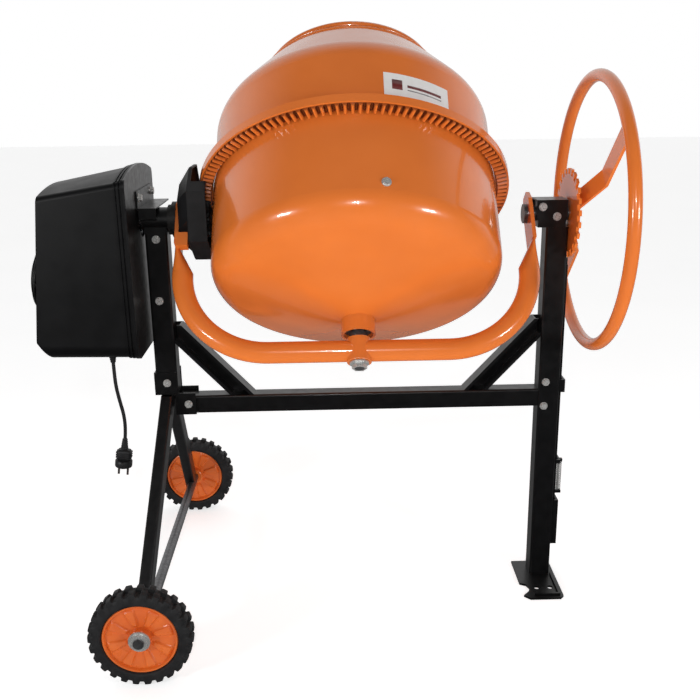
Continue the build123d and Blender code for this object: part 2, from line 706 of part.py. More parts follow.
def vent_cage():
    """Domed cage over the fan: rings joined by ribs."""
    cage = None
    depth = 36.0
    profile = [(83, 3), (80, 11), (73, 19), (62, 26), (49, 31), (33, 34.5), (16, depth)]
    for r, h in profile:
        hoop = Pos(0, 0, h) * Torus(r, 3)
        cage = hoop if cage is None else cage + hoop
    rib_out = [(r + 2, h) for r, h in profile] + [(0, depth + 2)]
    rib_in = [(max(r - 3, 0), h - 2) for r, h in profile][::-1]
    rib_face = make_face(Polyline(*(rib_out + [(0, depth - 3)] + rib_in), close=True))
    for i in range(8):
        cage += Rot(0, 0, 45 * i) * extrude(Plane.XZ * rib_face, 2, both=True)
    cage += ring(87, 77, 0, 4)
    cage &= ring(100, 0, 0, 60)
    return end_place(MOTOR_Z) * Pos(-0.1, 0, 0) * (Rot(0, -90, 0) * cage)


def motor():
    """Motor body with its mounting plate, shaft, rotor, pulley and fan."""
    place = Pos(0, 0, MOTOR_Z)
    body = along_x(ring(60, 44, -588, -490))
    for x in (-490, -592):
        body += along_x(ring(60, 7 + RUN_GAP, x, x + 6 if x > -500 else x + 4))
    mount = block(-484, -480, -96, 96, -75, 62) - along_x(ring(20, 0, -490, -470))
    mount -= Pos(0, 0, -MOTOR_Z) * along_x(ring(34, 0, -490, -470))
    stand = []
    for y, z in ((-80, -64), (80, -64), (-87, 52), (87, 52)):
        stand.append(Pos(0, y, z) * along_x(ring(6, 0, -480, PLATE_X - 2)))
    save("motor_housing", place * (body + mount + stand))
    rotor = along_x(ring(7, 0, -604, -455)) + along_x(ring(40, 7, -575, -500))
    save("motor_shaft", place * rotor)
    flange_r = SMALL_PULLEY_R + 2.5
    small = ring(flange_r, 7, -10, -8) + ring(SMALL_PULLEY_R, 7, -8, 8) + ring(flange_r, 7, 8, 10)
    save("motor_pulley", place * (Pos(BELT_X, 0, 0) * along_x(small)))
    fan = ring(14, 7, -5, 5)
    for i in range(7):
        fan += Rot(0, 0, i * 360 / 7) * (Pos(33, 0, 0) * Rot(30, 0, 0) * Box(42, 2, 10))
    save("cooling_fan", place * (Pos(-599, 0, 0) * along_x(fan)))


def drive_belt():
    """Ribbed belt round both pulleys, 0.3 mm clear of them."""
    gap, thick, width = 0.3, 3.0, 14.0
    r1, r2 = BIG_PULLEY_R + gap, SMALL_PULLEY_R + gap
    dist = -MOTOR_Z
    def loop(extra):
        a, b = r1 + extra, r2 + extra
        lean_in = (a - b) / dist
        c, s = sqrt(1 - lean_in ** 2), lean_in
        right_top, right_low = (a * c, -a * s), (b * c, -dist - b * s)
        left_top, left_low = (-a * c, -a * s), (-b * c, -dist - b * s)
        return make_face([Line(right_low, right_top), ThreePointArc(right_top, (0, a), left_top),
                          Line(left_top, left_low), ThreePointArc(left_low, (0, -dist - b), right_low)])
    flat = extrude(loop(thick), width) - extrude(loop(0), width)
    # drawn in Y and Z, thickness along X
    return Pos(BELT_X - width / 2, 0, 0) * (Plane.YZ.location * flat)


def switch_box():
    """Switch housing in the rear wall of the cover."""
    box = block(-558.5, -511.5, 108, 141, -58.5, -1.5)
    for z in (-17, -43):
        box -= Pos(-535, 0, z) * along_y(ring(9.3, 0, 130, 150))
        box -= Pos(-535, 0, z) * along_y(ring(6.3, 0, 112, 131))
    return box


def buttons():
    for node, z in (("start_button", -17), ("stop_button", -43)):
        cap = along_y(ring(9, 0, 134, 144)) + along_y(ring(6, 0, 117, 134))
        save(node, Pos(-535, 0, z) * cap)


def box_bracket():
    """Folded bar across the post top that carries the motor box."""
    top = block(-437, -402, -47, 110, 27, 30)
    front = block(-437, -402, -47, -44, 8, 27)
    side = block(-440, -437, -47, 110, 27, 64)
    return side + top + front


# --- lead -----------------------------------------------------------------------------
def cable():
    corners = [Vector(*p) for p in CORD_ROUTE]
    radii = []
    for a, b, c in zip(corners, corners[1:], corners[2:]):
        turn = (b - a).get_angle(c - b)
        radii.append(0.45 * min((b - a).length, (c - b).length) / tan(radians(turn / 2)))
    path = FilletPolyline(*CORD_ROUTE, radius=radii)
    start = Plane(CORD_ROUTE[0], z_dir=corners[1] - corners[0])
    tube = sweep(start * Circle(CORD_R), path=path)
    print("cord bend radii", [round(r) for r in radii], "length", round(path.length, 1),
          "volume ratio", round(tube.volume / (pi * CORD_R ** 2 * path.length), 4))
    save("mains_cord", tube)
    gx, gy, gz = CORD_ROUTE[0]
    place = Pos(gx, gy, 0)
    nut_low, nut_top, stem_top = -270.5, -262.1, -250.0
    sleeve = Cone(5.2, 8, nut_low - gz, align=(Align.CENTER, Align.CENTER, Align.MIN))
    gland = ring(11, 0, nut_low, nut_top) + ring(7.8, 0, nut_low, stem_top) + Pos(0, 0, gz) * sleeve
    save("cable_gland", place * gland)


def plug():
    """Two-pin earthed plug hanging on the lead, pins down."""
    end, before = Vector(*CORD_ROUTE[-1]), Vector(*CORD_ROUTE[-2])
    place = Plane(end, x_dir=(1, 0, 0), z_dir=end - before)
    relief = Cone(5, 8, 26, align=(Align.CENTER, Align.CENTER, Align.MIN))
    grip = Pos(0, 0, 26) * extrude(RectangleRounded(34, 26, 8), 22)
    face = Pos(0, 0, 48) * Cylinder(18.5, 16, align=(Align.CENTER, Align.CENTER, Align.MIN))
    body = relief + grip + face
    for y in (-15, 15):
        body -= Pos(0, y * 1.2, 57) * Box(8, 6, 16)
    save("plug_body", place.location * body)
    pin = ring(2.4, 0, 64, 83)
    pins = [Pos(x, 0, 0) * pin for x in (-9.5, 9.5)]
    save("plug_pins", *[place.location * p for p in pins])


# --- drum lock ------------------------------------------------------------------------
def guide_strap(z, length):
    """Folded strap on the outer face of the right post, open towards the post."""
    outline = [(0, -15), (14, -15), (14, 15), (0, 15), (0, 10), (10, 10), (10, -10), (0, -10)]
    strap = extrude(make_face(Polyline(*outline, close=True)), length)
    return Pos(RIGHT_POST_X + POST / 2, 0, z) * strap


def lock():
    """Rod with a pawl under the notched disc, drawn with the pedal held down."""
    face = RIGHT_POST_X + POST / 2
    rod_end, pedal_z = -745.0, -752.0
    rod = block(face + 1, face + 7, -9, 9, rod_end, -LOCK_DISC_R - 16)
    pawl = block(face + 1, face + 7, -4, 4, -LOCK_DISC_R - 16, -LOCK_DISC_R - 2)
    hook = block(face + 7, face + 21, -4, 4, SPRING_LOW - 7, SPRING_LOW - 0.5)
    save("lock_rod", rod + pawl + hook)
    arm = block(face + 1, face + 9, 9, 26, pedal_z, pedal_z + 5)
    pad = block(face - 20, face + 20, 26, 105, pedal_z, pedal_z + 5)
    riser = block(face + 1, face + 9, 9, 9.8, pedal_z, pedal_z + 24)
    save("lock_pedal", arm + pad + riser)
    coil_r, wire, height = 5.0, 1.3, SPRING_TOP - SPRING_LOW - 2.6
    path = Helix(height / 15, height, coil_r)
    coil = sweep(Plane(path @ 0, z_dir=path % 0) * Circle(wire), path=path, is_frenet=True)
    save("lock_spring", Pos(face + 15, 0, SPRING_LOW + wire) * coil)
    slot = block(face - 1, face + 11, 9, 16, -770, pedal_z + 20)
    anchor_low = SPRING_TOP + 0.5
    anchor = guide_strap(anchor_low, 9)
    anchor += block(face + 14, face + 21, -4, 4, anchor_low, anchor_low + 6.5)
    save("lock_guides", guide_strap(-762, 110) - slot, guide_strap(-391, 29), anchor)


# --- build ----------------------------------------------------------------------------
posts()
cross_beam()
braces()
left_corner_bracket()
legs()
axle()
foot_plate()
bearings()
save("frame_bolts", *frame_bolts())
wheels()
save("yoke", yoke())
drum_shaft()
right_trunnion()
handwheel()
save("lock_disc", lock_disc())
save("hub_bolts", *hub_bolts())
save("drum_lower_shell", drum_lower_shell())
save("drum_upper_shell", drum_upper_shell())
save("drum_boss", drum_boss())
save("drum_bearings", *drum_bearings())
save("ring_gear", *ring_gear())
save("mixing_blades", *blades())
save("blade_bolts", *blade_bolts())
save("label_plate", label_plate())
pinion()
pinion_shaft()
save("pinion_housing", pinion_housing())
save("pinion_guard", pinion_guard())
save("motor_back_plate", motor_back_plate())
save("motor_cover", motor_cover())
save("vent_cage", vent_cage())
motor()
save("drive_belt", drive_belt())
save("switch_box", switch_box())
buttons()
save("motor_box_bracket", box_bracket())
cable()
plug()
lock()
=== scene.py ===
import json
from math import cos, pi, radians, sin

import bmesh
import bpy
from mathutils import Matrix, Vector


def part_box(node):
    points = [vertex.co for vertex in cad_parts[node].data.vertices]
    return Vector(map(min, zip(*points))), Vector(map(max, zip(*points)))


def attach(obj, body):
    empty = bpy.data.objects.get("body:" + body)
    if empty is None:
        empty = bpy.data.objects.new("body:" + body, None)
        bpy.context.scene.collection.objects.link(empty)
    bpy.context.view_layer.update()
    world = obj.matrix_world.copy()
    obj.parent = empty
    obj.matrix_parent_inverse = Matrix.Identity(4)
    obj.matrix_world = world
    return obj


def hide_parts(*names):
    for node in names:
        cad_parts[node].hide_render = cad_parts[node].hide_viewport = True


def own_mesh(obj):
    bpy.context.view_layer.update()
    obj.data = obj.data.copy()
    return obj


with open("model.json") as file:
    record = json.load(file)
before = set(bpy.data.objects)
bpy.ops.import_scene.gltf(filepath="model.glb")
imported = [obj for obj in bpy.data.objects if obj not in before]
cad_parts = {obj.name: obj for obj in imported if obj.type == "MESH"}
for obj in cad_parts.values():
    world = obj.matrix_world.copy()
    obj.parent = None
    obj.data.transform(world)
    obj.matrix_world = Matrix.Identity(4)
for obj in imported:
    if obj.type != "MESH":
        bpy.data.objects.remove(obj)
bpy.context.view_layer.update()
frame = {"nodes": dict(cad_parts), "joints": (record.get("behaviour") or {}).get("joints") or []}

NODES = frame["nodes"]
JOINTS = {joint["name"]: joint for joint in frame["joints"]}
CROSSING = Vector(JOINTS["tilt"]["pos_m"])        # drum axis meets tilt axis
DRUM_AXIS = Vector(JOINTS["drum_spin"]["axis"])
MM = 0.001


# --- helpers ---------------------------------------------------------------------------
def at(x, y, z):
    """A point given in millimetres from the crossing of the drum and tilt axes."""
    return CROSSING + Vector((x, y, z)) * MM


def add_object(name, data):
    obj = bpy.data.objects.new(name, data)
    bpy.context.scene.collection.objects.link(obj)
    return obj


def mesh_object(name, bm, smooth_angle=35.0):
    """Turn a bmesh into an object, shaded smooth up to an angle in degrees."""
    bmesh.ops.recalc_face_normals(bm, faces=bm.faces)
    mesh = bpy.data.meshes.new(name)
    bm.to_mesh(mesh)
    bm.free()
    mesh.shade_smooth()
    mesh.set_sharp_from_angle(angle=radians(smooth_angle))
    return add_object(name, mesh)


def finish_piece(obj, body, material, slot, *replaced):
    """Give a piece its material and body, and hide the CAD nodes it stands for; slot is not
    used.
    """
    obj.data.materials.clear()
    obj.data.materials.append(MATERIALS[material])
    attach(obj, body)
    if replaced:
        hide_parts(*replaced)
    return obj


def basis(axis):
    """A rotation that turns Z to axis and keeps X as near to +X as it can."""
    z = Vector(axis).normalized()
    x = Vector((1, 0, 0))
    x = (x - z * x.dot(z)).normalized()
    return Matrix((x, z.cross(x), z)).transposed().to_4x4()


def ring(bm, place, steps, point):
    """A closed row of vertices about Z; point(turn) gives radius and height in metres."""
    row = []
    for i in range(steps):
        turn = 2 * pi * i / steps
        radius, height = point(turn)
        spot = Vector((radius * cos(turn), radius * sin(turn), height))
        row.append(bm.verts.new(place @ spot))
    return row


def skin(bm, rings):
    """Join each ring to the next with faces; a ring of one vertex is a closed end."""
    for low, high in zip(rings, rings[1:]):
        steps = max(len(low), len(high))
        for i in range(steps):
            j = (i + 1) % steps
            if len(low) == 1:
                bm.faces.new((low[0], high[j], high[i]))
            elif len(high) == 1:
                bm.faces.new((low[i], low[j], high[0]))
            else:
                bm.faces.new((low[i], low[j], high[j], high[i]))


def lathe(bm, profile, steps, place):
    """Revolve (radius, height) points in millimetres about Z, the result put at place."""
    rings = []
    for radius, height in profile:
        if radius:
            rings.append(ring(bm, place, steps, lambda turn: (radius * MM, height * MM)))
        else:
            rings.append([bm.verts.new(place @ Vector((0, 0, height * MM)))])
    skin(bm, rings)


def rounded_box(bm, size, place, radius, segments):
    """A box with rounded edges, in millimetres, centred on place."""
    verts = bmesh.ops.create_cube(bm, size=1.0)["verts"]
    for v in verts:
        v.co = Vector(part * full * MM for part, full in zip(v.co, size))
    edges = list({e for v in verts for e in v.link_edges})
    out = bmesh.ops.bevel(bm, geom=edges + verts, offset=radius * MM, segments=segments,
                          affect="EDGES", profile=0.5)
    moved = {v for f in out["faces"] for v in f.verts}
    for v in moved | {v for v in verts if v.is_valid}:
        v.co = place @ v.co


def tube_curve(name, points, radius, resolution=12):
    """A round wire or hose along a smooth NURBS line that follows control points."""
    data = bpy.data.curves.new(name, "CURVE")
    data.dimensions = "3D"
    data.bevel_depth = radius
    data.bevel_resolution = 6
    data.resolution_u = resolution
    data.use_fill_caps = True
    spline = data.splines.new("NURBS")
    spline.points.add(len(points) - 1)
    for p, co in zip(spline.points, points):
        p.co = (*co, 1.0)
    spline.order_u = 3
    spline.use_endpoint_u = True
    return add_object(name, data)


# --- camera ----------------------------------------------------------------------------
CAMERA_PLACE = (-49.4, -1867.1, 274.5)                              # millimetres, see at()
CAMERA_YAW, CAMERA_PITCH, CAMERA_ROLL = 1.0917, 16.803, -0.810      # degrees
LENS, SENSOR = 46.23, 36.0                                          # millimetres


def make_camera():
    yaw, pitch, roll = radians(CAMERA_YAW), radians(CAMERA_PITCH), radians(CAMERA_ROLL)
    forward = Vector((sin(yaw) * cos(pitch), cos(yaw) * cos(pitch), -sin(pitch)))
    right = forward.cross(Vector((0, 0, 1))).normalized()
    up = right.cross(forward)
    turned_right = right * cos(roll) + up * sin(roll)
    turned_up = up * cos(roll) - right * sin(roll)
    data = bpy.data.cameras.new("camera")
    data.lens = LENS
    data.sensor_width = SENSOR
    camera = add_object("camera", data)
    turn = Matrix((turned_right, turned_up, -forward)).transposed().to_4x4()
    camera.matrix_world = Matrix.Translation(at(*CAMERA_PLACE)) @ turn
    bpy.context.scene.camera = camera


make_camera()


# --- materials -------------------------------------------------------------------------
NOISE_SPAN = (0.3, 0.7)         # where nearly all of a noise texture's values lie
NOISE_ROUGHNESS = 0.55


def map_range(tree, value, span, out=(0.0, 1.0), interpolation="LINEAR"):
    """The output of a Map Range node that takes value from span to out."""
    node = tree.nodes.new("ShaderNodeMapRange")
    node.interpolation_type = interpolation
    for socket, number in zip(("From Min", "From Max", "To Min", "To Max"), (*span, *out)):
        node.inputs[socket].default_value = number
    tree.links.new(value, node.inputs["Value"])
    return node.outputs["Result"]


def multiply(tree, first, second):
    node = tree.nodes.new("ShaderNodeMath")
    node.operation = "MULTIPLY"
    tree.links.new(first, node.inputs[0])
    tree.links.new(second, node.inputs[1])
    return node.outputs["Value"]


class Shader:
    """A Principled material with the noise helpers that the finishes below share."""

    def __init__(self, name, roughness, metallic=0.0, coat=0.0, coat_roughness=0.05,
                 specular=0.5):
        self.material = bpy.data.materials.new(name)
        self.material.use_nodes = True
        self.tree = self.material.node_tree
        self.nodes, self.links = self.tree.nodes, self.tree.links
        self.shader = self.nodes["Principled BSDF"]
        self.set("Roughness", roughness)
        self.set("Metallic", metallic)
        self.set("Coat Weight", coat)
        self.set("Coat Roughness", coat_roughness)
        self.set("Specular IOR Level", specular)
        self.place = self.nodes.new("ShaderNodeTexCoord")
        self.last_normal = None

    def set(self, socket, value):
        self.shader.inputs[socket].default_value = value

    def noise(self, scale, detail, stretch=(1, 1, 1)):
        """Noise in object space; scale is in features per metre."""
        mapping = self.nodes.new("ShaderNodeMapping")
        mapping.inputs["Scale"].default_value = stretch
        noise = self.nodes.new("ShaderNodeTexNoise")
        noise.inputs["Scale"].default_value = scale
        noise.inputs["Detail"].default_value = detail
        noise.inputs["Roughness"].default_value = NOISE_ROUGHNESS
        self.links.new(self.place.outputs["Object"], mapping.inputs["Vector"])
        self.links.new(mapping.outputs["Vector"], noise.inputs["Vector"])
        return noise.outputs["Fac"]

    def colours(self, value, first, second):
        """Base colour that runs from first to second as a noise value rises."""
        mix = self.nodes.new("ShaderNodeMix")
        mix.data_type = "RGBA"
        mix.inputs["A"].default_value = (*first, 1)
        mix.inputs["B"].default_value = (*second, 1)
        self.links.new(map_range(self.tree, value, NOISE_SPAN), mix.inputs["Factor"])
        self.links.new(mix.outputs["Result"], self.shader.inputs["Base Color"])

    def vary_roughness(self, value, low, high):
        varied = map_range(self.tree, value, NOISE_SPAN, (low, high))
        self.links.new(varied, self.shader.inputs["Roughness"])

    def bump(self, value, depth, strength):
        """Bump of a depth in metres; several bumps add up."""
        node = self.nodes.new("ShaderNodeBump")
        node.inputs["Strength"].default_value = strength
        node.inputs["Distance"].default_value = depth
        self.links.new(value, node.inputs["Height"])
        if self.last_normal:
            self.links.new(self.last_normal, node.inputs["Normal"])
        self.last_normal = node.outputs["Normal"]
        self.links.new(self.last_normal, self.shader.inputs["Normal"])


def make_finish(name, roughness, tones, patches, sheen, haze, grains=(), **gloss):
    """A two-tone material with uneven roughness and a fine bump.

    tones are the two base colours and patches the noise that mixes them; sheen is the
    lowest and highest roughness and haze its noise; a grain is a noise, a depth in
    metres and a strength. A noise is a scale, a detail and, if need be, a stretch.
    """
    s = Shader(name, roughness, **gloss)
    s.colours(s.noise(*patches), *tones)
    s.vary_roughness(s.noise(*haze), *sheen)
    for noise, depth, strength in grains:
        s.bump(s.noise(*noise), depth, strength)
    return s.material


def orange_paint(name):
    return make_finish(
        name, 0.24, coat=0.6, coat_roughness=0.035, specular=0.4,
        tones=((0.74, 0.175, 0.027), (0.79, 0.193, 0.032)), patches=(9, 2),
        sheen=(0.19, 0.27), haze=(30, 3),
        grains=[((260, 2), 0.00010, 0.35), ((14, 1), 0.0010, 0.10)])


# painted shade and grease in the ring's tooth gaps; spans in metres: height along the drum axis,
# and distance from it
SHADE_AND_GREASE_BOTTOM, SHADE_AND_GREASE_TOP = (0.0330, 0.0375), (0.0425, 0.0416)
SHADE_AND_GREASE_EDGE = (0.3175, 0.3160)
# colour of the painted shade and grease in the tooth gaps
SHADE_AND_GREASE_COLOUR = (0.15, 0.032, 0.009, 1)


def shaded_greased_ring_paint():
    """The same paint, darkened between the ring's teeth and not on their tips: painted shade in
    the gaps, with grease.
    """
    material = orange_paint("shaded_greased_ring_paint")
    tree = material.node_tree
    nodes, links = tree.nodes, tree.links
    shader = nodes["Principled BSDF"]
    paint = shader.inputs["Base Color"].links[0].from_socket
    place = nodes.new("ShaderNodeTexCoord")

    def vector_math(operation, first, second=None, scale=None):
        node = nodes.new("ShaderNodeVectorMath")
        node.operation = operation
        links.new(first, node.inputs[0])
        if isinstance(second, Vector):
            node.inputs[1].default_value = second
        elif second is not None:
            links.new(second, node.inputs[1])
        if scale is not None:
            links.new(scale, node.inputs["Scale"])
        return node

    def ramp(value, span):
        return map_range(tree, value, span, interpolation="SMOOTHSTEP")

    local = vector_math("SUBTRACT", place.outputs["Object"], CROSSING).outputs["Vector"]
    height = vector_math("DOT_PRODUCT", local, DRUM_AXIS).outputs["Value"]
    axis = nodes.new("ShaderNodeCombineXYZ")
    for socket, number in zip(("X", "Y", "Z"), DRUM_AXIS):
        axis.inputs[socket].default_value = number
    lift = vector_math("SCALE", axis.outputs["Vector"], scale=height).outputs["Vector"]
    outward = vector_math("SUBTRACT", local, lift).outputs["Vector"]
    radius = vector_math("LENGTH", outward).outputs["Value"]
    # mask of the painted shade, with grease, where shade falls between the teeth
    band = multiply(tree, ramp(height, SHADE_AND_GREASE_BOTTOM), ramp(height, SHADE_AND_GREASE_TOP))
    shade_and_grease = multiply(tree, band, ramp(radius, SHADE_AND_GREASE_EDGE))
    mix = nodes.new("ShaderNodeMix")
    mix.data_type = "RGBA"
    mix.inputs["B"].default_value = SHADE_AND_GREASE_COLOUR
    links.new(shade_and_grease, mix.inputs["Factor"])
    links.new(paint, mix.inputs["A"])
    links.new(mix.outputs["Result"], shader.inputs["Base Color"])
    return material


def coloured_plastic(name, first, second):
    return make_finish(name, 0.35, tones=(first, second), patches=(120, 3),
                       sheen=(0.28, 0.42), haze=(200, 3), grains=[((1500, 2), 0.00006, 0.5)])


MATERIALS = {
    "orange": orange_paint("orange_paint"),
    # orange paint with painted shade and grease in the ring's tooth gaps
    "ring": shaded_greased_ring_paint(),
    "black": make_finish(
        "black_paint", 0.34, coat=0.12, coat_roughness=0.15, specular=0.45,
        tones=((0.0024, 0.0023, 0.0026), (0.0042, 0.0041, 0.0046)), patches=(40, 4),
        sheen=(0.28, 0.40), haze=(70, 4), grains=[((900, 2), 0.00005, 0.3)]),
    "cover": make_finish(
        "cover_plastic", 0.44, specular=0.28,
        tones=((0.0018, 0.0018, 0.0021), (0.0032, 0.0032, 0.0036)), patches=(8, 3),
        sheen=(0.38, 0.48), haze=(24, 4), grains=[((1500, 2), 0.00008, 0.4)]),
    "guard": make_finish(
        "guard_plastic", 0.5, specular=0.3,
        tones=((0.0065, 0.0065, 0.0070), (0.0105, 0.0105, 0.0115)), patches=(30, 3),
        sheen=(0.42, 0.55), haze=(60, 3), grains=[((1100, 2), 0.00018, 0.5)]),
    "zinc": make_finish(
        "zinc", 0.3, metallic=0.6,
        tones=((0.50, 0.50, 0.49), (0.70, 0.70, 0.68)), patches=(420, 4),
        sheen=(0.2, 0.42), haze=(700, 3), grains=[((1800, 2), 0.00008, 0.5)]),
    "steel": make_finish(
        "turned_steel", 0.35, metallic=0.8,
        tones=((0.10, 0.10, 0.105), (0.19, 0.19, 0.195)), patches=(150, 4),
        sheen=(0.25, 0.45), haze=(900, 2, (6, 1, 1)),
        grains=[((2600, 2, (8, 1, 1)), 0.00006, 0.4)]),
    "iron": make_finish(
        "dark_iron", 0.6, metallic=0.4,
        tones=((0.012, 0.012, 0.012), (0.03, 0.028, 0.027)), patches=(90, 5),
        sheen=(0.4, 0.7), haze=(120, 4), grains=[((650, 4), 0.0005, 0.5)]),
    "cast": make_finish(
        "cast_metal", 0.45, metallic=1.0,
        tones=((0.38, 0.39, 0.40), (0.55, 0.56, 0.57)), patches=(110, 4),
        sheen=(0.35, 0.6), haze=(200, 4), grains=[((500, 4), 0.0003, 0.5)]),
    "wheel": make_finish(
        "wheel_plastic", 0.3, coat=0.15, coat_roughness=0.2, specular=0.5,
        tones=((0.66, 0.115, 0.016), (0.75, 0.155, 0.022)), patches=(22, 3),
        sheen=(0.24, 0.38), haze=(50, 4), grains=[((1200, 2), 0.00008, 0.4)]),
    "tyre": make_finish(
        "tyre_rubber", 0.62, specular=0.35,
        tones=((0.010, 0.010, 0.011), (0.019, 0.019, 0.020)), patches=(60, 5),
        sheen=(0.5, 0.75), haze=(90, 4), grains=[((1000, 3), 0.0003, 0.5)]),
    "cord": make_finish(
        "cord_rubber", 0.45, specular=0.4,
        tones=((0.011, 0.011, 0.012), (0.018, 0.018, 0.019)), patches=(90, 3),
        sheen=(0.38, 0.52), haze=(120, 3), grains=[((1600, 2), 0.0001, 0.5)]),
    "nickel": make_finish(
        "nickel", 0.25, metallic=1.0,
        tones=((0.62, 0.60, 0.56), (0.75, 0.73, 0.69)), patches=(300, 3),
        sheen=(0.18, 0.34), haze=(600, 3)),
    "sticker": make_finish(
        "sticker", 0.35, specular=0.5,
        tones=((0.82, 0.81, 0.79), (0.88, 0.87, 0.86)), patches=(60, 3),
        sheen=(0.28, 0.42), haze=(80, 3), grains=[((70, 2), 0.0003, 0.25)]),
    "maroon_ink": coloured_plastic("maroon_ink", (0.13, 0.018, 0.018), (0.17, 0.025, 0.024)),
    "grey_ink": coloured_plastic("grey_ink", (0.20, 0.20, 0.21), (0.26, 0.26, 0.27)),
    "green": coloured_plastic("green_plastic", (0.02, 0.24, 0.06), (0.03, 0.30, 0.08)),
    "red": coloured_plastic("red_plastic", (0.42, 0.015, 0.012), (0.50, 0.02, 0.016)),
}

FINISHES = {
    "ring": ["ring_gear"],
    "orange": ["drum_lower_shell", "drum_upper_shell", "drum_boss", "yoke",
               "handwheel_rim", "handwheel_bar", "lock_disc", "mixing_blades"],
    "black": ["left_post", "right_post", "cross_beam", "left_brace", "right_brace",
              "left_corner_bracket", "front_leg", "rear_leg", "foot_plate", "lock_guides",
              "left_bearing_housing", "right_bearing_block", "right_bearing_cap",
              "motor_box_bracket", "lock_rod", "lock_pedal", "motor_back_plate"],
    "cover": ["motor_cover", "vent_cage", "cooling_fan"],
    "guard": ["pinion_guard", "switch_box"],
    "zinc": ["frame_bolts", "wheel_caps", "shaft_nut", "hub_bolts", "blade_bolts",
             "lock_spring"],
    "steel": ["axle", "drum_shaft", "right_trunnion", "pinion_shaft", "motor_shaft",
              "drum_bearings"],
    "iron": ["pinion", "pinion_housing"],
    "cast": ["big_pulley", "motor_pulley", "motor_housing"],
    "wheel": ["front_wheel_disc", "rear_wheel_disc"],
    "tyre": ["front_tyre", "rear_tyre"],
    "cord": ["mains_cord", "plug_body", "cable_gland", "drive_belt"],
    "nickel": ["plug_pins"],
    "sticker": ["label_plate"],
    "green": ["start_button"],
    "red": ["stop_button"],
}


def dress_cad_nodes():
    """Give every CAD node its finish."""
    for finish, names in FINISHES.items():
        for name in names:
            mesh = NODES[name].data
            mesh.materials.clear()
            mesh.materials.append(MATERIALS[finish])


dress_cad_nodes()


# --- mains lead ------------------------------------------------------------------------
CORD_ROUTE = [(-510, -66, -286), (-510, -66, -306), (-509, -67, -338), (-504, -66, -372),
              (-498, -65, -404), (-497, -66, -436), (-500, -66, -458)]     # see at()
CORD_RADIUS = 3.75 * MM


def make_lead():
    route = [at(*p) for p in CORD_ROUTE]
    cord = tube_curve("mains_lead", route, CORD_RADIUS)
    finish_piece(cord, "frame", "cord", "cord_rubber", "mains_cord")
    plug = make_plug(route[-1], route[-1] - route[-2])
    gland = make_gland(route[0])


def ribbed_sleeve(count, start, pitch, radius, growth, rib):
    """Profile points of ribs that grow along a sleeve.

    rib is how far a rib stands out, where its flank and its crown end, how deep the
    groove behind it is, and where the groove begins and ends, from the rib's own start.
    """
    out, flank, crown, deep, groove, end = rib
    points = []
    for i in range(count):
        low, r = start + pitch * i, radius + growth * i
        points += [(r, low), (r + out, low + flank), (r + out, low + crown),
                   (r - deep, low + groove), (r - deep, low + end)]
    return points


def make_plug(end, direction):
    """Ribbed strain relief, shouldered grip and round face with two side notches."""
    place = Matrix.Translation(end) @ basis(direction)

    def box(size, spot, radius, segments):
        shift = Matrix.Translation(Vector(spot) * MM)
        rounded_box(bm, size, place @ shift, radius, segments)

    bm = bmesh.new()
    ribs = ribbed_sleeve(5, 0.2, 4.8, 5.2, 0.55, (0.5, 0.8, 2.8, 0.9, 3.2, 4.6))
    relief = [(0.0, 0.2), *ribs, (8.2, 24.6), (9.5, 26.0), (0.0, 26.0)]
    lathe(bm, relief, 32, place)
    face = [(0.0, 47.5), (13.5, 47.5), (16.8, 48.6), (18.3, 51.0), (18.3, 61.5), (17.6, 63.4),
            (15.5, 64.0), (0.0, 64.0)]
    lathe(bm, face, 48, place)
    box((30, 22, 24), (0, 0, 36.5), 6, 4)
    for side in (-1, 1):
        for k in range(3):
            box((3, 18, 2.6), (side * 15.2, 0, 30.5 + 5.5 * k), 0.9, 2)
        box((6.5, 1.2, 15), (0, side * 17.6, 56), 0.4, 2)
    return finish_piece(mesh_object("plug", bm), "frame", "cord", "cord_rubber", "plug_body")


def make_gland(mouth):
    """Ribbed tapered sleeve, hexagonal nut and stem where the lead leaves the box."""
    place = Matrix.Translation(mouth)
    bm = bmesh.new()
    ribs = ribbed_sleeve(3, 0.5, 4.6, 5.3, 0.8, (0.4, 0.7, 2.6, 0.6, 3.0, 4.4))
    sleeve = [(0.0, 0.0), (5.0, 0.0), *ribs, (8.0, 14.4), (8.4, 15.5), (0.0, 15.5)]
    lathe(bm, sleeve, 32, place)
    nut = [(0.0, 15.5), (9.3, 15.5), (10.8, 16.8), (10.8, 22.4), (9.6, 23.7), (0.0, 23.7)]
    lathe(bm, nut, 6, place)
    stem = [(0.0, 23.5), (7.7, 23.5), (7.7, 35.5), (0.0, 35.5)]
    lathe(bm, stem, 24, place)
    gland = mesh_object("lead_gland", bm)
    return finish_piece(gland, "frame", "cord", "cord_rubber", "cable_gland")


make_lead()


# --- wheels ----------------------------------------------------------------------------
WHEEL_TURN = basis((0, -1, 0))
LUGS = 26
STEPS_PER_LUG = 16
LUG_DEPTH = 6.1                  # millimetres
SHOULDER_SPREAD = 0.045          # how much wider a lug is than its groove at the shoulder
DISC_STEPS = 192
WEB_SECTORS = 8
WEB_FACE, WEB_DISH, WEB_FIELD = 0.0082, 0.0035, 0.0042      # metres


def smooth_step(x, low, high):
    t = min(1.0, max(0.0, (x - low) / (high - low)))
    return t * t * (3 - 2 * t)


def lug_height(turn, row):
    """1 on a tread lug and 0 in the groove beside it; the two rows are staggered."""
    phase = (turn * LUGS / (2 * pi) + row * 0.5) % 1.0
    return smooth_step(phase, 0.04, 0.12) * (1 - smooth_step(phase, 0.60, 0.68))


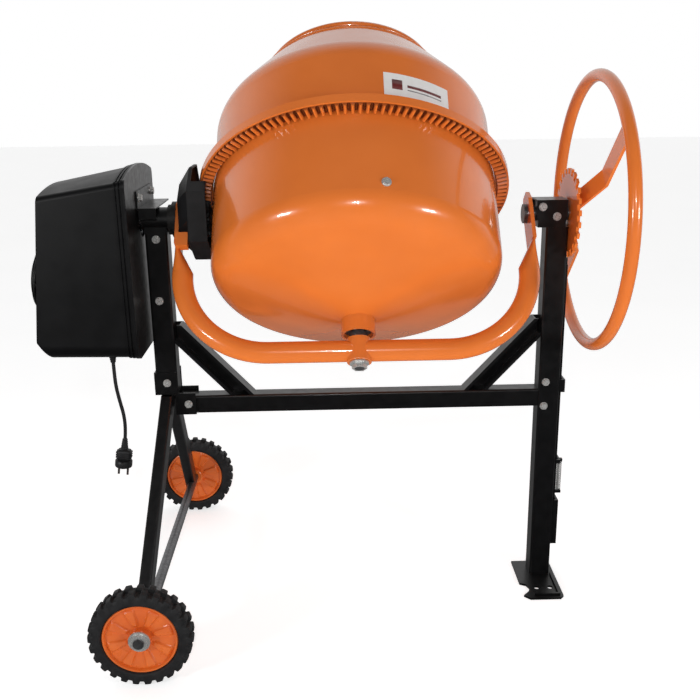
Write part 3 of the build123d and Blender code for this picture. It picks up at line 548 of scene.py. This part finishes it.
def make_tyre(name, body, node, centre):
    """Tyre as one closed skin: two staggered rows of lugs that run over the shoulder."""
    # radius, distance from the middle plane, share of the lug's height, in millimetres
    half = [(90.0, 0.0, 0.0), (93.3, 0.9, 0.0), (93.5, 1.6, 0.35), (93.8, 2.6, 1.0),
            (93.8, 9.0, 1.0), (93.2, 15.5, 1.0), (92.2, 18.0, 1.0), (89.0, 19.6, 0.75),
            (86.0, 20.4, 0.30), (84.5, 20.8, 0.0), (80.0, 21.4, 0.0), (76.5, 21.6, 0.0),
            (74.6, 20.6, 0.0), (73.6, 18.2, 0.0), (72.7, 15.6, 0.0)]
    outline = [(r, -z, k) for r, z, k in half[::-1]] + half[1:]
    place = Matrix.Translation(centre) @ WHEEL_TURN
    bm = bmesh.new()
    rings = []
    for r, z, share in outline:
        spread = SHOULDER_SPREAD * (share < 1 or abs(z) > 15)

        def point(turn):
            lug = lug_height(turn, 0 if z < 0 else 1) * share
            return (r + LUG_DEPTH * lug) * MM, z * (1 + spread * lug) * MM

        rings.append(ring(bm, place, LUGS * STEPS_PER_LUG, point))
    skin(bm, rings + rings[:1])
    return finish_piece(mesh_object(name, bm, 32), body, "tyre", "tyre_rubber", node)


def web_height(radius, turn):
    """Face height of the wheel's web: raised radial fields with sloping flanks."""
    phase = (turn * WEB_SECTORS / (2 * pi)) % 1.0
    field = smooth_step(phase, 0.10, 0.20) * (1 - smooth_step(phase, 0.52, 0.62))
    inside = smooth_step(radius, 0.0235, 0.030) * (1 - smooth_step(radius, 0.061, 0.066))
    dish = WEB_DISH * smooth_step(radius, 0.024, 0.060)
    return WEB_FACE + dish + WEB_FIELD * field * inside


def make_wheel_disc(name, body, node, centre):
    """Plastic disc: rim lip, facetted web on both faces, bored hub."""
    place = Matrix.Translation(centre) @ WHEEL_TURN
    # radius and height, in metres; the web's height comes from web_height
    hub = [(0.01055, 0.0205), (0.0120, 0.0212), (0.0190, 0.0212), (0.0206, 0.0200),
           (0.0212, 0.0150)]
    web = [0.0222, 0.0236, 0.026, 0.029, 0.034, 0.040, 0.046, 0.052, 0.057, 0.061, 0.0630,
           0.0650, 0.0664]
    rim = [(0.0674, 0.0150), (0.0686, 0.0172), (0.0704, 0.0178), (0.0718, 0.0172),
           (0.0724, 0.0155)]
    bm = bmesh.new()
    rings = []
    for side in (1, -1):
        path = [(r, lambda turn, h=h: h) for r, h in hub]
        path += [(r, lambda turn, r=r: web_height(r, turn)) for r in web]
        path += [(r, lambda turn, h=h: h) for r, h in rim]
        for r, height in path[::side]:
            rings.append(ring(bm, place, DISC_STEPS, lambda turn: (r, side * height(turn))))
    skin(bm, rings + rings[:1])
    return finish_piece(mesh_object(name, bm, 28), body, "wheel", "wheel_plastic", node)


def make_wheels():
    for side in ("front", "rear"):
        centre = Vector(JOINTS[f"{side}_wheel_spin"]["pos_m"])
        body = f"{side}_wheel"
        make_tyre(f"{side}_lugged_tyre", body, f"{side}_tyre", centre)
        make_wheel_disc(f"{side}_facetted_disc", body, f"{side}_wheel_disc", centre)


make_wheels()


# --- lock spring -----------------------------------------------------------------------
SPRING_RADIUS, SPRING_WIRE = 0.0050, 0.0012
SPRING_TURNS, STEPS_PER_TURN = 15, 20


def make_spring():
    """Close helix on the lock's rod, wound at an even pitch."""
    low, high = (Vector(corner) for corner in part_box("lock_spring"))
    middle = (low + high) / 2
    length = high.z - low.z
    last = SPRING_TURNS * STEPS_PER_TURN
    coil = []
    for i in range(last + 1):
        turn = 2 * pi * i / STEPS_PER_TURN
        coil.append(Vector((middle.x + SPRING_RADIUS * cos(turn),
                            middle.y + SPRING_RADIUS * sin(turn),
                            low.z + SPRING_WIRE + (length - 2 * SPRING_WIRE) * i / last)))
    curve = tube_curve("coiled_spring", coil, SPRING_WIRE, resolution=2)
    mesh = bpy.data.meshes.new_from_object(curve)
    bpy.data.objects.remove(curve)
    mesh.shade_smooth()
    spring = add_object("coiled_spring", mesh)
    finish_piece(spring, "frame", "zinc", "zinc", "lock_spring")
    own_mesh(spring)


make_spring()


# --- label -----------------------------------------------------------------------------
LABEL_RADIUS = 289.55 * MM
PRINT_THICKNESS = 0.0001
# first and last angle in degrees, lower and upper height in millimetres
LABEL_PRINT = [
    ("label_stripe", "maroon_ink", [(-70.5, -56.0, 106, 112), (-76.5, -72.5, 98, 120)]),
    ("label_line", "grey_ink", [(-70.5, -56.0, 99, 101.5)]),
]


def make_label_print():
    """A plain block, a stripe and a thin line on the sticker, a tenth of a mm thick."""
    place = Matrix.Translation(CROSSING) @ basis(DRUM_AXIS)

    def row(bm, first, last, height, steps=24):
        points = []
        for i in range(steps + 1):
            turn = radians(first + (last - first) * i / steps)
            spot = Vector((LABEL_RADIUS * cos(turn), LABEL_RADIUS * sin(turn), height * MM))
            points.append(bm.verts.new(place @ spot))
        return points

    for name, ink, bands in LABEL_PRINT:
        bm = bmesh.new()
        for first, last, bottom, top in bands:
            low, high = row(bm, first, last, bottom), row(bm, first, last, top)
            for i in range(len(low) - 1):
                bm.faces.new((low[i], low[i + 1], high[i + 1], high[i]))
        obj = mesh_object(name, bm)
        solid = obj.modifiers.new("thickness", "SOLIDIFY")
        solid.thickness = PRINT_THICKNESS
        finish_piece(obj, "drum", ink, "label")


make_label_print()


# --- floor and light -------------------------------------------------------------------
FLOOR_HALF = 15.0                # metres
FLOOR_GLOW = 0.58
WHITE = (1, 1, 1, 1)
# the room's light by direction: a span of the direction's Y or Z, and the strength there
ROOM_DEPTH = (0.0, 0.45), (0.10, 0.80)
ROOM_HEIGHT = (-0.35, 0.1), (0.20, 1.0)
# name, place from the crossing, width and height in metres, power in watts
LIGHTS = [
    ("flash", (-0.02, -2.6, 0.75), 0.16, 0.16, 13),
    ("left_box", (-2.2, -2.0, 0.25), 0.5, 0.3, 22),
    ("right_box", (2.2, -2.0, 0.25), 0.5, 0.3, 22),
    ("top_box", (0, -0.4, 2.6), 2.2, 2.2, 5),
]
HIDDEN_IN_REFLECTIONS = "top_box"


def make_world():
    """White where the camera looks; for the light, pale behind the part and dim in front."""
    world = bpy.data.worlds.new("studio")
    world.use_nodes = True
    tree = world.node_tree
    nodes, links = tree.nodes, tree.links
    seen = nodes["Background"]
    seen.inputs["Color"].default_value = WHITE
    seen.inputs["Strength"].default_value = 1.0
    room = nodes.new("ShaderNodeBackground")
    room.inputs["Color"].default_value = WHITE
    place = nodes.new("ShaderNodeTexCoord")
    split = nodes.new("ShaderNodeSeparateXYZ")
    links.new(place.outputs["Generated"], split.inputs["Vector"])
    depth = map_range(tree, split.outputs["Y"], *ROOM_DEPTH)
    height = map_range(tree, split.outputs["Z"], *ROOM_HEIGHT)
    links.new(multiply(tree, depth, height), room.inputs["Strength"])
    path = nodes.new("ShaderNodeLightPath")
    mix = nodes.new("ShaderNodeMixShader")
    links.new(path.outputs["Is Camera Ray"], mix.inputs["Fac"])
    links.new(room.outputs["Background"], mix.inputs[1])
    links.new(seen.outputs["Background"], mix.inputs[2])
    links.new(mix.outputs["Shader"], nodes["World Output"].inputs["Surface"])
    bpy.context.scene.world = world


def make_stage():
    bm = bmesh.new()
    bmesh.ops.create_grid(bm, x_segments=1, y_segments=1, size=FLOOR_HALF)
    floor = mesh_object("floor", bm)
    pale = Shader("pale_floor", 0.8, specular=0.2)
    pale.colours(pale.noise(2, 2), (0.90, 0.90, 0.90), (0.93, 0.93, 0.93))
    pale.set("Emission Color", WHITE)
    pale.set("Emission Strength", FLOOR_GLOW)
    floor.data.materials.append(pale.material)
    floor.visible_glossy = False


def area_light(name, offset, width, height, power):
    """A rectangular lamp that points at the crossing."""
    data = bpy.data.lights.new(name, "AREA")
    data.shape = "RECTANGLE"
    data.size = width
    data.size_y = height
    data.energy = power
    lamp = add_object(name, data)
    place = CROSSING + Vector(offset)
    turn = (place - CROSSING).to_track_quat("Z", "Y").to_matrix().to_4x4()
    lamp.matrix_world = Matrix.Translation(place) @ turn
    lamp.visible_glossy = name != HIDDEN_IN_REFLECTIONS


make_world()
make_stage()
for light in LIGHTS:
    area_light(*light)
bpy.context.scene.view_settings.view_transform = "Standard"
